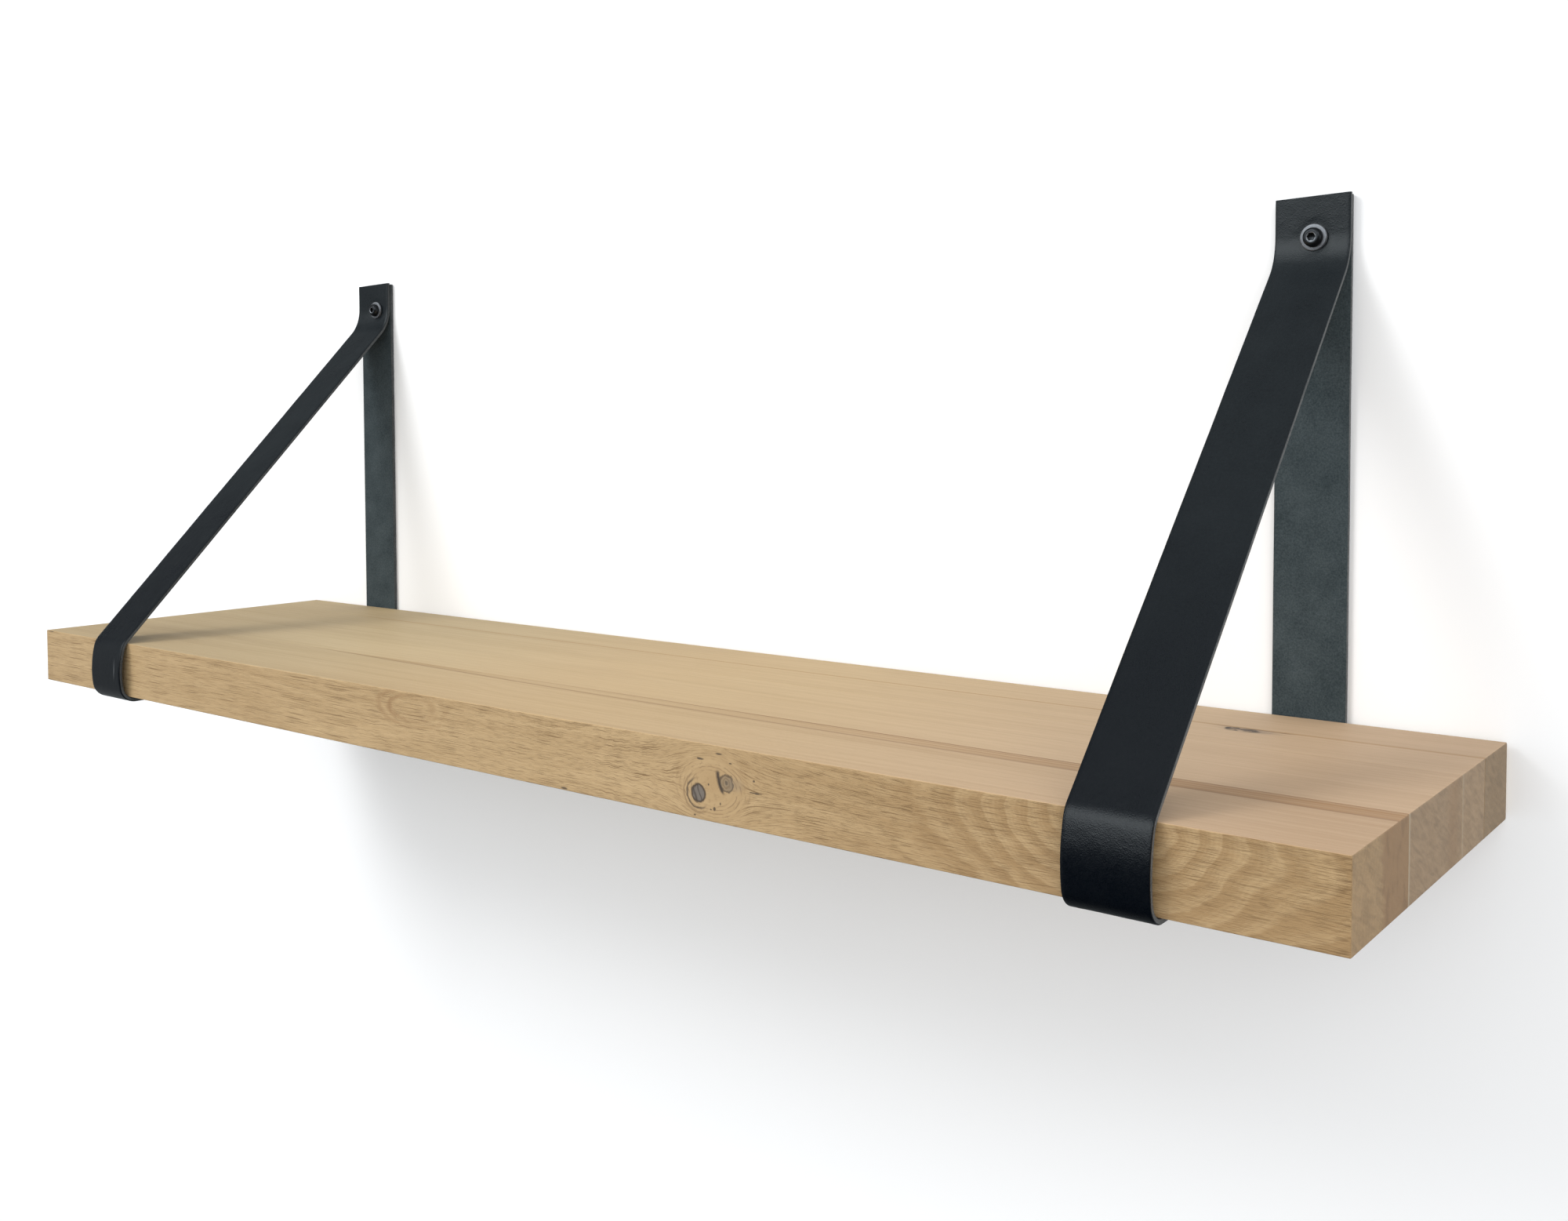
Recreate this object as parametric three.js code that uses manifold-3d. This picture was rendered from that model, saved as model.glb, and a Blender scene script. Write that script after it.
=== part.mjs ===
// Wall shelf: an oak board, glued up from full-length staves, hung in two leather loops.
// Each loop is one band. It runs down the wall behind the board, under it, up its front and
// back up to the wall at 45 degrees, where one screw and washer hold both of its ends.
//
// Millimetres. +X runs along the board, +Y points into the wall and +Z is up.
// The wall's surface is the plane y = 0, and the two screws are at z = 0.

import * as THREE from 'three';
import { mergeVertices } from 'three/addons/utils/BufferGeometryUtils.js';
import Module from 'manifold-3d';

// ---- Driving dimensions ----

const gap = 0.3; // between pieces that touch
const turnedSegments = 16; // facets round the screws and plugs
const washerSegments = 32;
const boardLength = 1000;
const boardThickness = 39;
const staveWidths = { front: 74, mid_front: 84.5, mid_back: 41.5, back: 45 };
const boardArris = 1; // radius worn on the board's long edges
const screwAboveBoard = 258; // from the top of the board to the screws
const strapSpacing = 804; // centre to centre

const leather = 2.5; // thickness of the band
const strapWidth = 40;
const strapEnd = 20; // the band's ends reach this far above the screw
const backBend = 4; // outside radii of the loop's bends, from the wall round to the front
const dipBend = 60;
const underBend = 12;
const bulgeBend = 72;
const arrisBend = 14;
const wallBend = 30; // the last bend, hollow on the room side
const dipTurn = 2.5; // how far each bend turns, in degrees
const underTurn = 83.5;
const bulgeTurn = 24;
const arrisTurn = 30;
const wallTurn = 45;
const dipLength = 28; // stretch under the board's front that hangs clear of it
const frontStandOff = 5; // widest space between the board's front and the band

const screwHole = 6.6;
const washerOuter = 14.4;
const washerInner = 6.4;
const washerThickness = 1.6;
const headDiameter = 10.5;
const headHeight = 3.3;
const headFlat = 6.6; // flat round the socket
const socketAcrossFlats = 4;
const socketDepth = 2.2;
const shankDiameter = 5.8;
const threadRoot = 4.2;
const threadPitch = 2.6;
const threadCount = 12;
const threadStart = 2;
const screwTip = 5;

const plugRecess = 1; // the plug's mouth lies this far below the wall's surface
const plugLength = 41;
const plugDiameter = 9;
const plugCollar = 11;
const plugCollarThickness = 1;
const plugRibCount = 6;
const plugRibDepth = 0.5;
const plugSlot = 1.2;
const plugSlotLength = 24;

// ---- Places that follow from them ----

const boardDepth = Object.values(staveWidths).reduce((sum, width) => sum + width, 0);
const boardBackY = -(leather + gap);
const boardFrontY = boardBackY - boardDepth;
const boardTopZ = -screwAboveBoard;
const boardBottomZ = boardTopZ - boardThickness;
const outerPlyY = -(2 * leather + gap); // the room side of the band's front end
const washerFaceY = outerPlyY - gap - washerThickness;
const headSeatY = washerFaceY - gap;
const strapCentres = { left: -strapSpacing / 2, right: strapSpacing / 2 };

// ---- Materials ----

const oak = new THREE.MeshStandardMaterial({ color: 0xc9a878, roughness: 0.6, metalness: 0 });
const leatherBlack = new THREE.MeshStandardMaterial({ color: 0x26292c, roughness: 0.5, metalness: 0 });
const steelBlack = new THREE.MeshStandardMaterial({ color: 0x1d1e20, roughness: 0.35, metalness: 0.8 });
const nylonGrey = new THREE.MeshStandardMaterial({ color: 0x9b9d9f, roughness: 0.55, metalness: 0 });

// ---- Solids: joining and cutting ----

const wasm = await Module();
wasm.setup();

function toSolid(geometry) {
  const bare = geometry.clone();
  bare.deleteAttribute('normal');
  bare.deleteAttribute('uv');
  const merged = mergeVertices(bare, 1e-4);
  const mesh = new wasm.Mesh({
    numProp: 3,
    vertProperties: new Float32Array(merged.attributes.position.array),
    triVerts: new Uint32Array(merged.index.array),
  });
  return new wasm.Manifold(mesh);
}

function toGeometry(solid) {
  const mesh = solid.getMesh();
  const geometry = new THREE.BufferGeometry();
  geometry.setAttribute('position', new THREE.BufferAttribute(new Float32Array(mesh.vertProperties), 3));
  geometry.setIndex(new THREE.BufferAttribute(new Uint32Array(mesh.triVerts), 1));
  geometry.computeVertexNormals();
  return geometry;
}

function cut(geometry, cutters) {
  let solid = toSolid(geometry);
  for (const cutter of cutters) {
    solid = solid.subtract(toSolid(cutter));
  }
  return toGeometry(solid);
}

// A (y, z) outline pulled along X, centred on x = 0.
function extrudeAlongX(shape, length, curveSegments = 6) {
  const geometry = new THREE.ExtrudeGeometry(shape, { depth: length, bevelEnabled: false, curveSegments });
  geometry.translate(0, 0, -length / 2);
  const turn = new THREE.Matrix4().makeBasis(
    new THREE.Vector3(0, 1, 0),
    new THREE.Vector3(0, 0, 1),
    new THREE.Vector3(1, 0, 0),
  );
  return geometry.applyMatrix4(turn);
}

// A round bar along Y, from one y to another.
function barAlongY(diameter, fromY, toY, segments = 36) {
  const bar = new THREE.CylinderGeometry(diameter / 2, diameter / 2, toY - fromY, segments);
  return bar.translate(0, (fromY + toY) / 2, 0);
}

// ---- Board ----

// The outline of one stave, with its corners rounded only where they are an edge of the board.
function staveOutline(frontY, backY, roundFront, roundBack) {
  const front = roundFront ? boardArris : 0;
  const back = roundBack ? boardArris : 0;
  const outline = new THREE.Shape();
  outline.moveTo(frontY + front, boardBottomZ);
  outline.lineTo(backY - back, boardBottomZ);
  if (back) outline.absarc(backY - back, boardBottomZ + back, back, -Math.PI / 2, 0);
  outline.lineTo(backY, boardTopZ - back);
  if (back) outline.absarc(backY - back, boardTopZ - back, back, 0, Math.PI / 2);
  outline.lineTo(frontY + front, boardTopZ);
  if (front) outline.absarc(frontY + front, boardTopZ - front, front, Math.PI / 2, Math.PI);
  outline.lineTo(frontY, boardBottomZ + front);
  if (front) outline.absarc(frontY + front, boardBottomZ + front, front, Math.PI, 1.5 * Math.PI);
  return outline;
}

function makeBoard() {
  const board = new THREE.Group();
  const names = Object.keys(staveWidths);
  let y = boardFrontY;
  names.forEach((name, index) => {
    const isFirst = index === 0;
    const isLast = index === names.length - 1;
    const frontY = isFirst ? y : y + gap / 2;
    const backY = y + staveWidths[name] - (isLast ? 0 : gap / 2);
    const outline = staveOutline(frontY, backY, isFirst, isLast);
    const stave = new THREE.Mesh(extrudeAlongX(outline, boardLength), oak);
    stave.name = `stave_${name}`;
    board.add(stave);
    y += staveWidths[name];
  });
  return board;
}

// ---- Strap ----

// The middle of the band in the (y, z) plane, walked from the wall end down, round the board
// and back up. A bend's radius is the band's outside radius, and turns to the walker's right
// are positive, because the board is always on that side.
function walkLoop() {
  const stops = [];
  const place = new THREE.Vector2(-leather / 2, strapEnd);
  const heading = new THREE.Vector2(0, -1);
  const note = () => stops.push({ place: place.clone(), heading: heading.clone() });
  const walkTo = (length) => {
    place.addScaledVector(heading, length);
    note();
  };
  const turn = (outsideRadius, degrees, steps) => {
    const side = Math.sign(degrees);
    const radius = side > 0 ? outsideRadius - leather / 2 : outsideRadius + leather / 2;
    const toCentre = new THREE.Vector2(heading.y, -heading.x).multiplyScalar(side * radius);
    const centre = place.clone().add(toCentre);
    const step = -THREE.MathUtils.degToRad(degrees) / steps;
    for (let i = 0; i < steps; i += 1) {
      place.rotateAround(centre, step);
      heading.rotateAround(new THREE.Vector2(), step);
      note();
    }
  };

  const middleRadius = (outsideRadius) => outsideRadius - leather / 2;
  const underZ = boardBottomZ - gap - leather / 2;
  note();
  walkTo(strapEnd - (underZ + middleRadius(backBend)));
  turn(backBend, 90, 10);

  // The front bend is placed so that the bulge stands off the board's front by frontStandOff.
  const dip = THREE.MathUtils.degToRad(dipTurn);
  const lean = THREE.MathUtils.degToRad(90 + dipTurn - underTurn);
  const bulgeY = boardFrontY - frontStandOff - leather / 2;
  const underBendY = bulgeY + middleRadius(underBend) * Math.cos(lean)
    + middleRadius(bulgeBend) * (1 - Math.cos(lean));
  const dipRadius = dipBend + leather / 2;
  const dipY = underBendY + (dipRadius + middleRadius(underBend)) * Math.sin(dip) + dipLength * Math.cos(dip);
  walkTo(place.x - dipY);
  turn(dipBend, -dipTurn, 2);
  walkTo(dipLength);
  turn(underBend, underTurn, 11);
  turn(bulgeBend, bulgeTurn, 8);
  turn(arrisBend, arrisTurn, 6);

  // The slope runs on until the last bend brings the band upright, flat on its other end.
  const wallRadius = wallBend + leather / 2;
  const bendDepth = wallRadius * (1 - Math.cos(THREE.MathUtils.degToRad(wallTurn)));
  const uprightY = outerPlyY + leather / 2;
  walkTo((uprightY - bendDepth - place.x) / heading.x);
  turn(wallBend, -wallTurn, 9);
  walkTo(strapEnd - place.y);
  return stops;
}

function bandOutline() {
  const right = [];
  const left = [];
  for (const { place, heading } of walkLoop()) {
    const across = new THREE.Vector2(heading.y, -heading.x).multiplyScalar(leather / 2);
    right.push(place.clone().add(across));
    left.push(place.clone().sub(across));
  }
  return new THREE.Shape([...right, ...left.reverse()]);
}

function makeStrap() {
  const band = extrudeAlongX(bandOutline(), strapWidth);
  const clearOfBand = -40;
  const hole = barAlongY(screwHole, clearOfBand, -clearOfBand);
  const washerSeat = barAlongY(washerOuter + 2 * gap, clearOfBand, outerPlyY);
  return cut(band, [hole, washerSeat]);
}

// ---- Fastener ----

function makeWasher() {
  const edge = 0.25;
  const inner = washerInner / 2;
  const outer = washerOuter / 2;
  const back = washerFaceY + washerThickness;
  const profile = [
    new THREE.Vector2(inner, washerFaceY),
    new THREE.Vector2(outer - edge, washerFaceY),
    new THREE.Vector2(outer, washerFaceY + edge),
    new THREE.Vector2(outer, back),
    new THREE.Vector2(inner, back),
    new THREE.Vector2(inner, washerFaceY),
  ];
  return new THREE.LatheGeometry(profile, washerSegments);
}

// A domed head in front, and a shank whose thread is a row of ridges.
function makeScrew() {
  const profile = [new THREE.Vector2(0, headSeatY - headHeight)];
  const domeSteps = 7;
  for (let i = 0; i <= domeSteps; i += 1) {
    const angle = (i / domeSteps) * (Math.PI / 2);
    const radius = headFlat / 2 + ((headDiameter - headFlat) / 2) * Math.sin(angle);
    profile.push(new THREE.Vector2(radius, headSeatY - headHeight * Math.cos(angle)));
  }
  profile.push(new THREE.Vector2(shankDiameter / 2, headSeatY));
  profile.push(new THREE.Vector2(shankDiameter / 2, threadStart));
  for (let i = 0; i < threadCount; i += 1) {
    const y = threadStart + i * threadPitch;
    profile.push(new THREE.Vector2(threadRoot / 2, y + 0.25 * threadPitch));
    profile.push(new THREE.Vector2(threadRoot / 2, y + 0.75 * threadPitch));
    profile.push(new THREE.Vector2(shankDiameter / 2, y + threadPitch));
  }
  const threadEnd = threadStart + threadCount * threadPitch;
  profile.push(new THREE.Vector2(threadRoot / 2, threadEnd + 0.25 * threadPitch));
  profile.push(new THREE.Vector2(0, threadEnd + screwTip));
  const body = new THREE.LatheGeometry(profile, turnedSegments);
  const socketRadius = socketAcrossFlats / Math.sqrt(3);
  const socketTop = headSeatY - headHeight;
  const socket = new THREE.CylinderGeometry(socketRadius, socketRadius, 2 * socketDepth, 6);
  return cut(body, [socket.translate(0, socketTop, 0)]);
}

// A nylon plug: a collar, ribs round it, and a slotted end that the screw spreads.
function makePlug() {
  const bore = shankDiameter + 2 * gap;
  const outer = plugDiameter / 2;
  const collarEnd = plugRecess + plugCollarThickness;
  const plugEnd = plugRecess + plugLength;
  const ribStart = collarEnd + 3;
  const ribPitch = (plugEnd - ribStart) / plugRibCount;
  const profile = [
    new THREE.Vector2(bore / 2, plugRecess),
    new THREE.Vector2(plugCollar / 2, plugRecess),
    new THREE.Vector2(plugCollar / 2, collarEnd),
    new THREE.Vector2(outer, collarEnd),
  ];
  for (let i = 0; i < plugRibCount; i += 1) {
    const y = ribStart + i * ribPitch;
    profile.push(new THREE.Vector2(outer, y));
    profile.push(new THREE.Vector2(outer - plugRibDepth, y + 0.3));
    profile.push(new THREE.Vector2(outer, y + 0.7 * ribPitch));
  }
  profile.push(new THREE.Vector2(outer - plugRibDepth, plugEnd));
  profile.push(new THREE.Vector2(bore / 2, plugEnd));
  profile.push(new THREE.Vector2(bore / 2, plugRecess));
  const body = new THREE.LatheGeometry(profile, turnedSegments);
  const slot = new THREE.BoxGeometry(plugSlot, plugSlotLength, 2 * plugDiameter);
  const slotY = plugEnd - plugSlotLength / 2 + 1;
  const turned = slot.clone().rotateY(Math.PI / 2);
  return cut(body, [slot.translate(0, slotY, 0), turned.translate(0, slotY, 0)]);
}

// ---- Assembly ----

const shelf = new THREE.Group();
shelf.add(makeBoard());

const perSide = [
  ['strap', makeStrap(), leatherBlack],
  ['washer', makeWasher(), steelBlack],
  ['screw', makeScrew(), steelBlack],
  ['wall_plug', makePlug(), nylonGrey],
];

for (const [side, centreX] of Object.entries(strapCentres)) {
  const hanger = new THREE.Group();
  hanger.position.x = centreX;
  for (const [piece, geometry, material] of perSide) {
    const mesh = new THREE.Mesh(geometry, material);
    mesh.name = `${piece}_${side}`;
    hanger.add(mesh);
  }
  shelf.add(hanger);
}

export default shelf;
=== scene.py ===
"""Looks of the wall shelf: four oak staves in two black leather loops, each held by a screw and washer.

Metres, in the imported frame: +X along the board, +Y into the wall, +Z up. The wall is the plane y = 0.
"""

import math
from collections import namedtuple

import bmesh
import bpy
from mathutils import Matrix, Vector, noise


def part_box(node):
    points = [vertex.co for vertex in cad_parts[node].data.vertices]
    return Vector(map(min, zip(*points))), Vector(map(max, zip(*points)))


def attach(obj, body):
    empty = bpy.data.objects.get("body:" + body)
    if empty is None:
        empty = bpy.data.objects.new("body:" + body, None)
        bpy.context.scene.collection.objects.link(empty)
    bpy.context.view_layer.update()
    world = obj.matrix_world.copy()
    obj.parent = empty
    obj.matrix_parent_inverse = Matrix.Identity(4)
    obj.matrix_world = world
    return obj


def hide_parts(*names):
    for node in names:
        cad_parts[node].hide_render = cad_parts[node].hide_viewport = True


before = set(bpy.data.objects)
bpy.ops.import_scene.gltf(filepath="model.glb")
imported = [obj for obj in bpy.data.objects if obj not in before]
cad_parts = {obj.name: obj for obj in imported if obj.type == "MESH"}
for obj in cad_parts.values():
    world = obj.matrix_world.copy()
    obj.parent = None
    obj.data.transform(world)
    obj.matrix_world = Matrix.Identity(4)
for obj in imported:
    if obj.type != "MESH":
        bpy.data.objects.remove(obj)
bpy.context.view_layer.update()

MM = 0.001

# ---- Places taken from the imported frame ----

front_low, front_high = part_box("stave_front")
back_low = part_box("stave_back")[0]
BOARD_FRONT_Y = front_low.y
BOARD_TOP_Z = front_high.z
BOARD_BOTTOM_Z = front_low.z
BOARD_HALF_LENGTH = front_high.x
STAVES = ["front", "mid_front", "mid_back", "back"]
SIDES = ["left", "right"]


def measures(node):
    """The low and high corners of a CAD node, and the x of its middle."""
    low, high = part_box(node)
    return low, high, (low.x + high.x) / 2


# ---- Shader graphs ----


class Value:
    """A node's output. Sums, differences and products of values make further nodes."""

    def __init__(self, graph, socket):
        self.graph = graph
        self.socket = socket

    def __add__(self, other):
        return self.graph.math("ADD", self, other)

    def __radd__(self, other):
        return self.graph.math("ADD", other, self)

    def __sub__(self, other):
        return self.graph.math("SUBTRACT", self, other)

    def __rsub__(self, other):
        return self.graph.math("SUBTRACT", other, self)

    def __mul__(self, other):
        return self.graph.math("MULTIPLY", self, other)

    def __truediv__(self, other):
        return self.graph.math("DIVIDE", self, other)

    def __rtruediv__(self, other):
        return self.graph.math("DIVIDE", other, self)


class Graph:
    """Short calls for the nodes of a material or world. An input is a number, a tuple or a Value."""

    def __init__(self, owner):
        owner.use_nodes = True
        self.owner = owner
        self.tree = owner.node_tree
        self.tree.nodes.clear()

    def node(self, kind, inputs, output=0, **settings):
        made = self.tree.nodes.new(kind)
        for key, value in settings.items():
            setattr(made, key, value)
        for key, value in inputs.items():
            if isinstance(value, Value):
                self.tree.links.new(value.socket, made.inputs[key])
            else:
                made.inputs[key].default_value = value
        return Value(self, made.outputs[output]) if made.outputs else None

    def math(self, operation, a, b=0.0, clamp=False):
        inputs = {0: a, 1: b}
        return self.node("ShaderNodeMath", inputs, operation=operation, use_clamp=clamp)

    def absolute(self, value):
        return self.math("ABSOLUTE", value)

    def length(self, a, b):
        """The length of (a, b)."""
        return self.math("SQRT", a * a + b * b)

    def limited(self, value):
        """value, kept between 0 and 1."""
        return self.math("ADD", value, 0.0, clamp=True)

    def step(self, value, start, end, low=0.0, high=1.0):
        """low before start and high after end, with a smooth change between them."""
        inputs = {0: value, 1: start, 2: end, 3: low, 4: high}
        return self.node("ShaderNodeMapRange", inputs, interpolation_type="SMOOTHSTEP")

    def fall(self, value, start, end):
        """1 before start and 0 after end, with a smooth change between them."""
        return self.step(value, start, end, 1.0, 0.0)

    def bell(self, value, centre, width):
        """1 where value is centre, falling smoothly to 0 at width away."""
        return self.fall(self.absolute(value - centre), 0.0, width)

    def scaled(self, vector, factors):
        inputs = {0: vector, 1: factors}
        return self.node("ShaderNodeVectorMath", inputs, operation="MULTIPLY")

    def join(self, x, y, z):
        return self.node("ShaderNodeCombineXYZ", {0: x, 1: y, 2: z})

    def stretched(self, x, y, z, factors):
        """A place with each of its coordinates times its own factor."""
        return self.join(x * factors[0], y * factors[1], z * factors[2])

    def paint(self, colour, new, strength):
        """colour, with new laid over it."""
        return self.mix(strength, colour, new)

    def place(self):
        """Where a point is on its own piece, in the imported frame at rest."""
        return self.node("ShaderNodeTexCoord", {}, output="Object")

    def split(self, vector):
        made = self.tree.nodes.new("ShaderNodeSeparateXYZ")
        self.tree.links.new(vector.socket, made.inputs[0])
        return [Value(self, socket) for socket in made.outputs]

    def noise(self, vector, scale=1.0, detail=2.0, roughness=0.5, distortion=0.0):
        inputs = {"Vector": vector, "Scale": scale, "Detail": detail, "Roughness": roughness}
        return self.node("ShaderNodeTexNoise", inputs | {"Distortion": distortion})

    def uneven(self, *place, **settings):
        """Noise that runs about zero."""
        return self.noise(*place, **settings) - 0.5

    def cells(self, vector, scale):
        """Distance from the middle of the nearest of many small cells."""
        return self.node("ShaderNodeTexVoronoi", {"Vector": vector, "Scale": scale})

    def ramp(self, value, stops):
        made = self.tree.nodes.new("ShaderNodeValToRGB")
        elements = made.color_ramp.elements
        while len(elements) < len(stops):
            elements.new(0.5)
        for element, (place, colour) in zip(elements, stops):
            element.position = place
            element.color = (*colour, 1.0)
        self.tree.links.new(value.socket, made.inputs[0])
        return Value(self, made.outputs[0])

    def mix(self, factor, a, b, blend="MIX"):
        """Colours a and b mixed."""
        inputs = {0: factor}
        for key, colour in ((6, a), (7, b)):
            inputs[key] = (*colour, 1.0) if isinstance(colour, tuple) else colour
        settings = {"data_type": "RGBA", "blend_type": blend}
        return self.node("ShaderNodeMix", inputs, output=2, **settings)

    def bump(self, height, distance, strength=1.0):
        inputs = {"Strength": strength, "Distance": distance, "Height": height}
        return self.node("ShaderNodeBump", inputs)

    def surface(self, **inputs):
        """Ends the graph in a Principled shader. Underscores in a socket's name stand for spaces."""
        named = {key.replace("_", " "): value for key, value in inputs.items()}
        shader = self.node("ShaderNodeBsdfPrincipled", named)
        self.node("ShaderNodeOutputMaterial", {"Surface": shader})
        return self.owner


def material_graph(name):
    return Graph(bpy.data.materials.new(name))


# ---- Oak ----
#
# Each stave is sawn from its own log. The log's rings are the distance from a wandering pith
# line that runs along X, so that the same rings show as stripes along the faces and as arcs
# on the end grain.

PALE_OAK = (0.548, 0.396, 0.216)
BROWN_OAK = (0.345, 0.222, 0.104)
PORE_OAK = (0.165, 0.096, 0.040)
STREAK_OAK = (0.335, 0.187, 0.068)
STREAK_LINE = (0.215, 0.112, 0.042)
END_HEART = (0.290, 0.174, 0.088)
GLUE_LIGHT = (0.420, 0.350, 0.260)
GLUE_LINE_Y = -0.0878
RUST_Y = -0.1040
HEART_EDGE_Y = (-0.2115, -0.2035)
GREEN_LEFT = (0.90, 0.96, 1.0)
ROSY_RIGHT = (1.0, 0.98, 1.16)
TORN_X = (BOARD_HALF_LENGTH - 0.0085, BOARD_HALF_LENGTH - 0.0015)
KNOT_RING = (0.190, 0.118, 0.060)
KNOT_EYE = (0.215, 0.168, 0.112)
KNOT_CORE = (0.048, 0.036, 0.030)
KNOT_GREY = (0.150, 0.135, 0.122)

# Waves per metre along X, across in Y and across in Z.
FIBRES = (60.0, 2600.0, 2600.0)
THREADS = (9.0, 900.0, 900.0)
LINES = (2.6, 380.0, 380.0)
LONG_PORES = (42.0, 2300.0, 2300.0)
SHORT_PORES = (140.0, 3600.0, 3600.0)


# Where a stave's log ran, and how its wood looks: pith is the (y, z) of the log's middle, ring the
# width of a year's growth and end the colour of the sawn end.
Log = namedtuple("Log", "pith ring wander brown end seed")

LOGS = {
    "front": Log((-0.165, -0.3020), 0.0036, 0.010, 0.36, (0.384, 0.256, 0.134), 3.1),
    "mid_front": Log((-0.145, -0.1500), 0.0052, 0.006, 0.20, (0.352, 0.243, 0.146), 11.7),
    "mid_back": Log((-0.060, -0.4100), 0.0046, 0.006, 0.22, (0.368, 0.254, 0.152), 23.4),
    "back": Log((-0.010, -0.1300), 0.0050, 0.007, 0.22, (0.303, 0.206, 0.116), 31.9),
}

FIRST_KNOT = (0.1780, BOARD_BOTTOM_Z + 0.0134)
FIRST_KNOT_RADIUS = 0.0044
FIRST_KNOT_SLASHES = [(-0.0027, 0.0014, 0.70), (0.0008, 0.0007, 0.75)]  # offset, width, strength
SECOND_KNOT = (0.1965, BOARD_BOTTOM_Z + 0.0209)
SECOND_KNOT_RADIUS = 0.0042
SWIRL_CENTRE = (0.1870, BOARD_BOTTOM_Z + 0.0170)
SWIRL_REACH = 0.024
# Small dark marks on the front: (x, height above the underside, half length, half height)
MARKS = [
    (0.1885, 0.0069, 0.0012, 0.0013),
    (0.1862, 0.0062, 0.0010, 0.0005),
    (0.1924, 0.0100, 0.0007, 0.0011),
    (0.1847, 0.0187, 0.0007, 0.0008),
    (0.1755, 0.0020, 0.0009, 0.0006),
    (0.0810, 0.0012, 0.0032, 0.0009),
    (-0.4920, 0.0386, 0.0060, 0.0007),
    (0.1795, 0.0310, 0.0030, 0.0006),
    (0.1915, 0.0350, 0.0034, 0.0007),
    (0.1990, 0.0312, 0.0012, 0.0005),
    (0.2150, 0.0187, 0.0042, 0.0005),
    (0.2140, 0.0245, 0.0009, 0.0008),
]
# The nested bands at the right of the front lie about this (x, z), this far either side of it.
BAND_CENTRE = (0.402, BOARD_TOP_Z - 0.004)
BAND_CORE = 0.014
BAND_PITCH = 0.0080
# A faint oval figure near the top edge of the front, left of the middle.
FIGURE_CENTRE = (-0.050, BOARD_TOP_Z - 0.0095)
FIGURE_STRETCH = 2.8
FIGURE_RIMS = [(0.0075, 0.0020, 0.70), (0.01125, 0.0018, 0.45)]  # radius, width and strength
FIGURE_BROWN = (0.290, 0.170, 0.078)
# A small cracked knot on the top, as (x, y).
CRACK_STAIN = (0.388, -0.0530)
CRACK_HEART = (0.384, -0.0535)
CRACK_CORE = (0.376, -0.0530)
CRACK_LINE_Y = -0.0490
CRACK_BROWN = (0.225, 0.165, 0.125)


def distance(g, x, z, place, stretch=1.0):
    """How far (x, z) is from a place, with x measured stretch times shorter."""
    dx = (x - place[0]) * (1 / stretch)
    dz = z - place[1]
    return g.length(dx, dz)


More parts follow.
